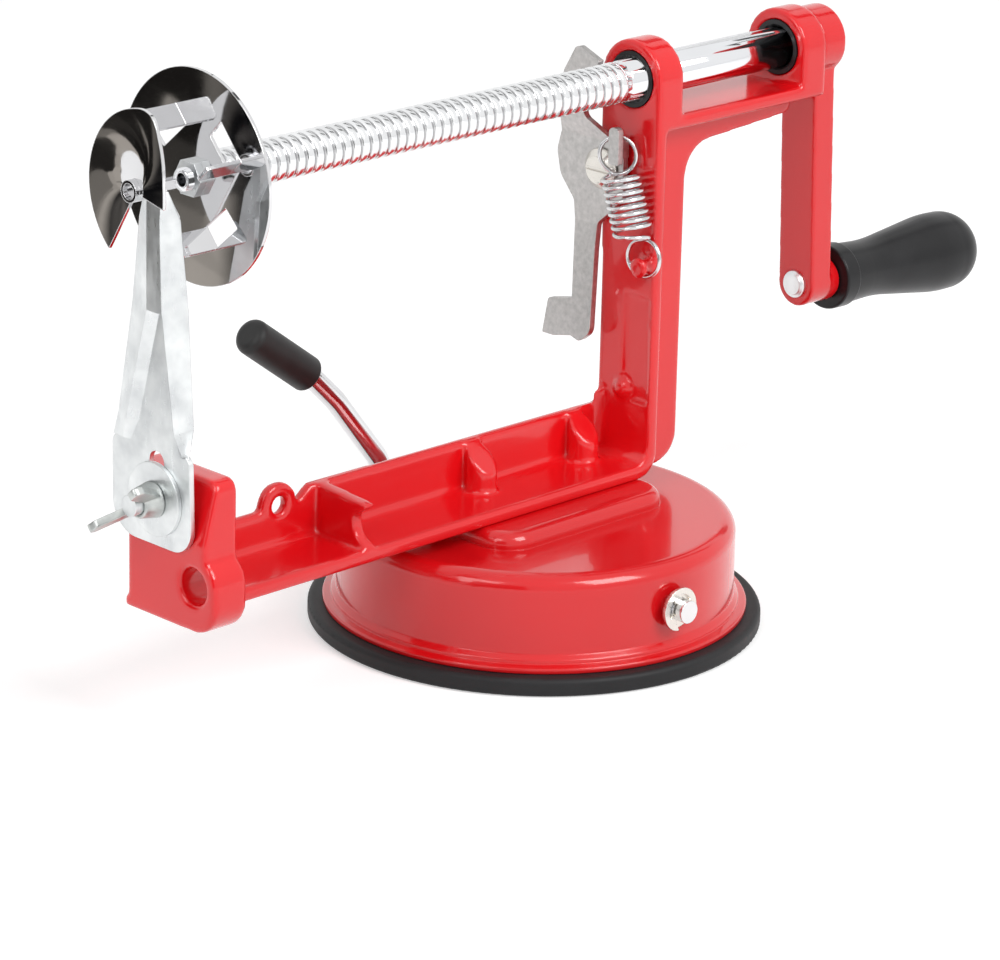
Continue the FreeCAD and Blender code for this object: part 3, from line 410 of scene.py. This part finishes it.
def weld(piece, gap=WELD_GAP):
    """Merges doubled vertices and turns the faces outwards."""
    only(piece)
    bpy.ops.object.mode_set(mode="EDIT")
    bpy.ops.mesh.select_all(action="SELECT")
    bpy.ops.mesh.remove_doubles(threshold=gap)
    bpy.ops.mesh.normals_make_consistent(inside=False)
    bpy.ops.object.mode_set(mode="OBJECT")

# %% [markdown]
# ## Handing a piece over
#
# A finished piece gets one material and stands in for its CAD node. A rigid
# piece also rides on the body that carries it.

# %% Paint and hand over
def paint(piece, material):
    piece.data.materials.clear()
    piece.data.materials.append(material)


def triangles(piece):
    return sum(len(face.vertices) - 2 for face in piece.data.polygons)


def done(piece, replaced, body=None):
    """Makes a finished piece stand for a CAD node and ride on its body."""
    if body:
        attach(piece, body)
    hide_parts(replaced)
    print(piece.name, triangles(piece), "triangles")

# %% [markdown]
# ## The rolled thread
#
# The thread is rolled into the bar, so its crests are broad and rounded and the
# grooves between them are narrow and shallow. One pitch of its outline is
# drawn as a line, and the Screw modifier winds that line around the bar, as a
# right-handed thread. Each turn starts where the last one ended, so welding
# the seams leaves one skin. A few turns too many are wound, because the skin is
# then cut square at both ends and closed.

# %% Draw one pitch of the thread
AXIS_Z = 152.5 * MM
THREAD_FROM = -127.2 * MM
THREAD_TO = 26.3 * MM
PITCH = 3.3
SPARE_TURNS = 1.5
THREAD_LINE = ((0.0, 5.45), (0.28, 5.48), (0.50, 5.66), (0.64, 5.86),
               (0.86, 5.96), (1.20, 6.0), (2.10, 6.0), (2.44, 5.96),
               (2.66, 5.86), (2.80, 5.66), (3.02, 5.48), (3.3, 5.45))


def line(name, centre, points):
    """A vertex extruded from point to point; points are in mm from the centre."""
    bpy.ops.object.select_all(action="DESELECT")
    bpy.ops.mesh.primitive_plane_add(size=MM, location=centre)
    piece = bpy.context.object
    piece.name = piece.data.name = name
    bpy.ops.object.mode_set(mode="EDIT")
    bpy.ops.mesh.merge(type="CENTER")
    bpy.ops.transform.translate(value=Vector(points[0]) * MM)
    for here, there in zip(points, points[1:]):
        step = (Vector(there) - Vector(here)) * MM
        bpy.ops.mesh.extrude_region_move(TRANSFORM_OT_translate={"value": step})
    bpy.ops.object.mode_set(mode="OBJECT")
    return piece


bar = line("threaded_bar", (THREAD_FROM - SPARE_TURNS * PITCH * MM, 0, AXIS_Z),
           [(x, 0.0, radius) for x, radius in THREAD_LINE])
print("one pitch drawn with", len(bar.data.vertices), "vertices")

# %% Wind the thread
STEPS_A_TURN = 36
SEAM_GAP = 0.00001

screw = bar.modifiers.new("wind", "SCREW")
screw.axis = "X"
screw.angle = 2 * math.pi
screw.screw_offset = PITCH * MM
screw.iterations = int((THREAD_TO - THREAD_FROM) / MM / PITCH + 2 * SPARE_TURNS)
screw.steps = screw.render_steps = STEPS_A_TURN
print("turns wound:", screw.iterations)
apply_all(bar)
weld(bar, SEAM_GAP)
print(bar.name, triangles(bar), "triangles before it is cut")

# %% [markdown]
# ## The bar's plain ends
#
# In front of the thread the bar ends in a plain stub with a socket for the
# skewer, and behind it the bar runs on as a plain rod. The CAD bar has these
# shapes already, so each end is a welded copy of it, trimmed just inside the
# thread. The ends keep plain chrome. The thread alone has painted shade in its
# grooves, because its finish tells groove from crest by the distance to the axis.

# %% Chrome with painted shade in the grooves
def groove_shaded(name, tint, dull, groove, crest):
    """Metal with painted shade in its grooves: radius about the bar sets the tint."""
    metal = Paint(name, Metallic=1.0)
    centred = metal.node("ShaderNodeMapping", {},
                         {"Vector": metal.place, "Location": (0, 0, -AXIS_Z),
                          "Scale": (0, 1, 1)})
    radius = metal.node("ShaderNodeVectorMath", {"operation": "LENGTH"},
                        {0: centred}, "Value")
    lines = metal.noise(300.0, roughness=0.6, place=metal.stretched(0.25, 2, 2))
    cloud = metal.noise(90.0, roughness=0.6)
    worn = metal.mix(metal.ramp(cloud, (0.35, 0.0), (0.7, 1.0)),
                     tuple(value * 0.9 for value in tint), tint)
    # Painted shade: the dull colour fills the grooves and fades out towards the
    # crests.
    return metal.surface(
        Base_Color=metal.mix(radius.between(groove, crest), dull, worn),
        Roughness=metal.ramp(lines + cloud * 0.5, (0.4, 0.10), (0.95, 0.22)),
        Normal=metal.bump(lines, 0.000006, 0.6))


# dull is the painted shade in the grooves; tint is the chrome on the crests.
chrome_painted_groove_shade = groove_shaded("chrome_painted_groove_shade", tint=(0.90, 0.91, 0.92),
                        dull=(0.42, 0.42, 0.43), groove=0.00545, crest=0.00566)

# %% Trim the thread and add the ends
OVERLAP = 0.2 * MM
SHARP_ANGLE = math.radians(40)


def trim(piece, x, keep_front):
    """Cuts a piece square at x and closes it; its front is towards lower x."""
    only(piece)
    bpy.ops.object.mode_set(mode="EDIT")
    bpy.ops.mesh.select_all(action="SELECT")
    bpy.ops.mesh.bisect(plane_co=(x, 0, 0), plane_no=(1, 0, 0), use_fill=True,
                        clear_outer=keep_front, clear_inner=not keep_front)
    bpy.ops.object.mode_set(mode="OBJECT")


def welded_copy(node, name):
    """A copy of a CAD piece with its own mesh, its loose triangles merged."""
    piece = bpy.data.objects.new(name, nodes[node].data.copy())
    bpy.context.scene.collection.objects.link(piece)
    piece.data.name = name
    piece.data.materials.clear()
    weld(piece)
    return piece


trim(bar, THREAD_FROM, keep_front=False)
trim(bar, THREAD_TO, keep_front=True)
weld(bar)
front_end = welded_copy("lead_screw", "bar_front")
trim(front_end, THREAD_FROM + OVERLAP, keep_front=True)
rear_end = welded_copy("lead_screw", "bar_rear")
trim(rear_end, THREAD_TO - OVERLAP, keep_front=False)
paint(bar, chrome_painted_groove_shade)
paint(front_end, chrome)
paint(rear_end, chrome)

only(bar)
front_end.select_set(True)
rear_end.select_set(True)
bpy.ops.object.join()
bpy.ops.object.shade_smooth_by_angle(angle=SHARP_ANGLE)
done(bar, "lead_screw", body="screw_and_crank")

# %% [markdown]
# ## The return spring
#
# The spring is one wire: a loop through the lever's tongue, eight turns of
# coil, a short lead, and a second loop around the cast peg. The coil hangs a
# little aslant between the loops, so its axis is found first, and with it the
# places where the two loops' wire meets the coil. All lengths are in mm.

# %% Set out the spring
COIL = 5.4
COIL_TURNS = 8
COIL_TOP = Vector((25.7, -4.2, 127.5))
COIL_LOW = Vector((26.9, -8.7, 111.1))
TONGUE_LOOP = Vector((28.9, -0.2, 131.25))
PEG_LOOP = Vector((31.15, -9.3, 102.35))
SKYWARD = Vector((0, 0, 1))

rise = (COIL_TOP - COIL_LOW).normalized()
side = rise.cross(Vector((0, 1, 0))).normalized()
ahead = rise.cross(side)
coil_drop = (COIL_TOP - COIL_LOW).length


def around(point):
    """Angle, height and radius of a point about the coil's axis."""
    offset = point - COIL_TOP
    east, north = offset.dot(side), offset.dot(ahead)
    return math.atan2(north, east), offset.dot(rise), math.hypot(east, north)


top_angle, top_height, _ = around(TONGUE_LOOP - SKYWARD * COIL)
low_angle, low_height, low_radius = around(PEG_LOOP + SKYWARD * COIL)
sweep = 2 * math.pi * COIL_TURNS + (low_angle - top_angle) % (2 * math.pi)
print("coil of", round(coil_drop, 1), "mm and", round(sweep / math.tau, 2), "turns")

# %% [markdown]
# ## The wire's path
#
# Each loop is drawn as a circle in an upright plane, and its last quarter
# steps aside, so that the free end lies beside the wire and not in it. On the
# coil, angle and height grow together. In its last few percent the wire
# leaves the coil's radius and runs down to the top of the loop on the peg.

# %% Points along the wire
LOOP_STEPS = 25
COIL_STEPS = 170
LEAD_FROM = 0.93
ASIDE_FROM = 0.75
ASIDE_SLOPE = 4.5


def loop(centre, degrees, to_coil, first, last):
    """Points round an end loop, from one fraction of a turn to another.

    The loop's plane is turned by the angle about the vertical, and to_coil
    points from its centre to where the coil's wire comes in.
    """
    across = Vector((-math.sin(math.radians(degrees)),
                     math.cos(math.radians(degrees)), 0.0))
    points = []
    for step in range(LOOP_STEPS + 1):
        turned = first + (last - first) * step / LOOP_STEPS
        angle = math.tau * turned
        aside = max(0.0, turned - ASIDE_FROM) * ASIDE_SLOPE
        points.append(centre + across * COIL * math.sin(angle)
                      + to_coil * COIL * math.cos(angle)
                      + across.cross(to_coil) * aside)
    return points


def coil_point(part):
    """The wire's place when this part of the coil has been wound."""
    body = min(1.0, part / LEAD_FROM)
    lead = max(0.0, (part - LEAD_FROM) / (1 - LEAD_FROM))
    height = (top_height - body * (coil_drop + top_height)
              + lead * (low_height + coil_drop))
    radius = COIL + (low_radius - COIL) * lead * lead * (3 - 2 * lead)
    angle = top_angle + sweep * part
    return (COIL_TOP + rise * height
            + (side * math.cos(angle) + ahead * math.sin(angle)) * radius)


wire_line = (loop(TONGUE_LOOP, 32, -SKYWARD, first=1.06, last=0.04)
             + [coil_point(step / COIL_STEPS) for step in range(2, COIL_STEPS - 1)]
             + loop(PEG_LOOP, 10, SKYWARD, first=0.02, last=1.06))
print("points along the wire:", len(wire_line))

# %% [markdown]
# ## Bending the wire
#
# A curve with a round bevel is the natural way to draw wire, because its
# thickness stays the same through every bend. The spring joins a fixed piece
# and a moving one, and is left on neither body.

# %% Bend the spring
WIRE_RADIUS = 0.6

bend = bpy.data.curves.new("return_spring", "CURVE")
bend.dimensions = "3D"
bend.bevel_depth = WIRE_RADIUS * MM
bend.bevel_resolution = 3
bend.use_fill_caps = True
bend.resolution_u = 3
strand = bend.splines.new("NURBS")
strand.points.add(len(wire_line) - 1)
for point, place in zip(strand.points, wire_line):
    point.co = (*(place * MM), 1.0)
strand.order_u = 4
strand.use_endpoint_u = True
spring = bpy.data.objects.new("return_spring", bend)
bpy.context.scene.collection.objects.link(spring)
only(spring)
bpy.ops.object.convert(target="MESH")
spring = bpy.context.object
weld(spring)
bpy.ops.object.shade_smooth()
paint(spring, wire)
done(spring, "lever_spring")
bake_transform(spring)

# %% [markdown]
# ## Soft edges on the castings
#
# A die cast part has no sharp edge: the metal flows round every corner, and
# the enamel rounds it again. Bevelling hundreds of edges by hand breaks where
# fillets meet. Instead a welded copy is rebuilt from small voxels, which
# smoothing then rounds everywhere by the same amount, and a Decimate modifier
# gives back the triangles that the flat faces don't need.

# %% Soften the castings
def softened(node, name, voxel, rounds, limit):
    """Voxel copy of a CAD piece with every edge rounded by smoothing."""
    piece = welded_copy(node, name)
    remesh = piece.modifiers.new("voxels", "REMESH")
    remesh.mode = "VOXEL"
    remesh.voxel_size = voxel
    remesh.use_smooth_shade = True
    smooth = piece.modifiers.new("smooth", "SMOOTH")
    smooth.factor = 0.5
    smooth.iterations = rounds
    apply_all(piece)
    full = triangles(piece)
    if full > limit:
        thin = piece.modifiers.new("thin", "DECIMATE")
        thin.ratio = limit / full
        apply_all(piece)
    print(name, full, "triangles before thinning")
    bpy.ops.object.shade_smooth()
    return piece


casting = softened("frame_casting", "cast_frame", voxel=0.61 * MM, rounds=13,
                   limit=196000)
paint(casting, red_enamel)
done(casting, "frame_casting", body="frame")
crank = softened("crank_arm", "cast_crank", voxel=0.3 * MM, rounds=32, limit=150000)
paint(crank, red_enamel)
done(crank, "crank_arm", body="screw_and_crank")
wings = softened("wing_nut", "cast_wing_nut", voxel=0.25 * MM, rounds=4, limit=40000)
paint(wings, cast_zinc)
done(wings, "wing_nut", body="wing_nut")

# %% [markdown]
# ## The floor
#
# A wide pale floor catches a soft shadow. For diffuse light it is pale paper.
# Where it is looked at, straight or in a mirror, it glows a little more, which
# brings it up to white without adding light to the cutter.

# %% Floor
FLOOR_SIZE = 8.0
FLOOR_GAP = 0.0002
FLOOR_GLOW = (0.42, 0.42, 0.42)
GRID = {"x_subdivisions": 4, "y_subdivisions": 4}

bpy.ops.object.select_all(action="DESELECT")
bpy.ops.mesh.primitive_grid_add(size=FLOOR_SIZE, location=(0, 0, -FLOOR_GAP), **GRID)
floor = bpy.context.object
floor.name = "floor"
paper = Paint("pale_floor", Roughness=0.9, Specular_IOR_Level=0.1,
              Emission_Strength=1.0)
fleck = paper.noise(40.0, detail=2.0)
floor.data.materials.append(paper.surface(
    Base_Color=paper.mix(fleck, (0.78, 0.78, 0.78), (0.81, 0.81, 0.81)),
    Emission_Color=paper.mix(paper.looked_at(), (0.0, 0.0, 0.0), FLOOR_GLOW)))
print("floor", FLOOR_SIZE, "m wide")

# %% [markdown]
# ## Cards for the mirror steel
#
# Polished steel has no colour of its own and shows what stands around it. A
# studio keeps dark cards near a mirror so that its shape reads against white.
# Reflections alone see these cards: they neither shade the cutter nor show in
# the view, because every other ray meets a transparent shader.

# %% A card that only reflections see
def card(name, spot, size, turned, tone):
    """A staged card; tone makes its colour from a Paint."""
    bpy.ops.object.select_all(action="DESELECT")
    bpy.ops.mesh.primitive_grid_add(size=1.0, location=spot, rotation=turned, **GRID)
    sheet = bpy.context.object
    sheet.name = name
    sheet.scale = (*size, 1.0)
    shade = Paint(name, Base_Color=(0.0, 0.0, 0.0), Roughness=1.0,
                  Specular_IOR_Level=0.0, Emission_Strength=1.0)
    sheet.data.materials.append(shade.surface(Emission_Color=tone(shade)))
    reflected = shade.node("ShaderNodeMixShader", {},
                           {0: shade.ray("Glossy"),
                            1: shade.node("ShaderNodeBsdfTransparent"),
                            2: Value(shade, shade.shader.outputs[0])})
    shade.feed(shade.tree.nodes["Material Output"].inputs["Surface"], reflected)
    print(name, "at", spot)

# %% [markdown]
# ## Four cards
#
# Two cards stand in front of the blade, one plain grey and one with patches of
# black, brown and pale grey, as a cluttered room would show. Two more grey ones
# are high up beyond the crank, one standing and one lying flat. The polished
# bar mirrors these near its top, as thin darker lines.

# %% Set up the cards
STANDING = (0, math.radians(90), 0)
LYING = (0, 0, 0)
NEAR_CARD = (0.16, 0.20)


def broken_tone(shade):
    """Black on one side, uneven brown and grey patches on the other."""
    spots = shade.node("ShaderNodeTexVoronoi", {},
                       {"Vector": shade.place, "Scale": 10.0}, "Color")
    bright = shade.mix(shade.ramp(spots, (0.30, 0.0), (0.72, 0.75)),
                       (0.012, 0.011, 0.010), (0.60, 0.55, 0.49))
    dim = shade.mix(shade.ramp(shade.noise(5.0), (0.42, 0.0), (0.72, 1.0)),
                    (0.005, 0.005, 0.006), (0.13, 0.12, 0.11))
    across = shade.node("ShaderNodeSeparateXYZ", {}, {0: shade.place}, "Y")
    return shade.mix(across.between(0.09, 0.14), dim, bright)


def grey_tone(shade):
    return shade.mix(shade.noise(3.0, detail=2.0),
                     (0.05, 0.05, 0.05), (0.12, 0.12, 0.12))


card("dark_card", (-0.300, 0.158, 0.118), NEAR_CARD, STANDING, broken_tone)
card("left_card", (-0.300, -0.158, 0.118), NEAR_CARD, STANDING, grey_tone)
card("top_card", (0.95, 0.71, 0.92), (0.33, 0.50), STANDING, grey_tone)
card("roof_card", (0.95, 0.08, 0.95), (1.3, 0.16), LYING, grey_tone)

# %% [markdown]
# ## World and lamps
#
# The world lights the cutter evenly from all sides at half strength, and is
# pure white where it is looked at. Two square soft boxes, a strong one beside
# the cutter and a weaker one in front of the blade, give the enamel its broad
# highlights and the floor its soft shadow.

# %% White world
WORLD_LIGHT = 0.50

world = bpy.data.worlds.new("studio")
bpy.context.scene.world = world
world.use_nodes = True
sky = Graph(world.node_tree)
background = world.node_tree.nodes["Background"]
sky.feed(background.inputs["Color"], (1.0, 1.0, 1.0))
sky.feed(background.inputs["Strength"],
         sky.looked_at() * (1 - WORLD_LIGHT) + WORLD_LIGHT)
print("world", world.name, "at", WORLD_LIGHT)

# %% Soft boxes
def soft_box(name, spot, size, watts):
    """Square area lamp that faces the cutter."""
    bpy.ops.object.light_add(type="AREA", location=spot)
    lamp = bpy.context.object
    lamp.name = name
    lamp.data.size = size
    lamp.data.energy = watts
    lamp.rotation_euler = (AIM - Vector(spot)).to_track_quat("-Z", "Y").to_euler()
    print(name, watts, "W")


soft_box("key_box", (0.15, -1.5, 1.45), size=1.0, watts=24.0)
soft_box("side_box", (-1.5, -0.15, 1.0), size=0.9, watts=8.0)
bpy.context.scene.view_settings.view_transform = "Standard"
